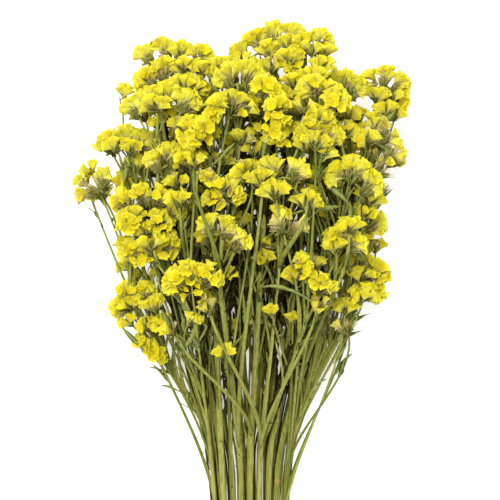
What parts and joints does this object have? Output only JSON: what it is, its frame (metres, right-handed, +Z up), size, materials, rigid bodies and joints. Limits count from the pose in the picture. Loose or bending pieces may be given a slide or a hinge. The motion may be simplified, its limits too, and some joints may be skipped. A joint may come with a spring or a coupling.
{
  "type": "dried statice",
  "caption": "Loose bunch of dried statice lying down: winged stems from a gathered cut end, forking into curved sprays of papery yellow funnels over green bracts.",
  "frame": {"origin": "middle of the bounding box's footprint, on the surface that the bunch lies on", "axes": "+Y along the bunch from the cut ends to the heads, +X to the right of someone looking down on it with the heads away from them, +Z up"},
  "size_m": [0.3093, 0.5815, 0.1363],
  "materials": {
    "stem": "dry and dull, ribbed along its length",
    "bloom": "papery, slightly translucent"
  },
  "bodies": {
    "root": {"bloom_01": "bloom", "bloom_02": "bloom", "bloom_03": "bloom", "bloom_04": "bloom", "bloom_05": "bloom", "bloom_06": "bloom", "bloom_07": "bloom", "bloom_08": "bloom", "bloom_09": "bloom", "bloom_10": "bloom", "bloom_11": "bloom", "bloom_12": "bloom", "bloom_13": "bloom", "bloom_14": "bloom", "bloom_15": "bloom", "bloom_16": "bloom", "bloom_17": "bloom", "bloom_18": "bloom", "bloom_19": "bloom", "bloom_20": "bloom", "bloom_21": "bloom", "bloom_22": "bloom", "bloom_23": "bloom", "bloom_24": "bloom", "bloom_25": "bloom", "bloom_26": "bloom", "side_bloom_06": "bloom", "side_bloom_10": "bloom", "side_bloom_12": "bloom", "side_bloom_17": "bloom", "side_bloom_18": "bloom", "side_bloom_19": "bloom", "side_bloom_20": "bloom", "side_bloom_22": "bloom", "stem_01": "stem", "stem_02": "stem", "stem_03": "stem", "stem_04": "stem", "stem_05": "stem", "stem_06": "stem", "stem_07": "stem", "stem_08": "stem", "stem_09": "stem", "stem_10": "stem", "stem_11": "stem", "stem_12": "stem", "stem_13": "stem", "stem_14": "stem", "stem_15": "stem", "stem_16": "stem", "stem_17": "stem", "stem_18": "stem", "stem_19": "stem", "stem_20": "stem", "stem_21": "stem", "stem_22": "stem", "stem_23": "stem", "stem_24": "stem", "stem_25": "stem", "stem_26": "stem"}
  },
  "joints": []
}
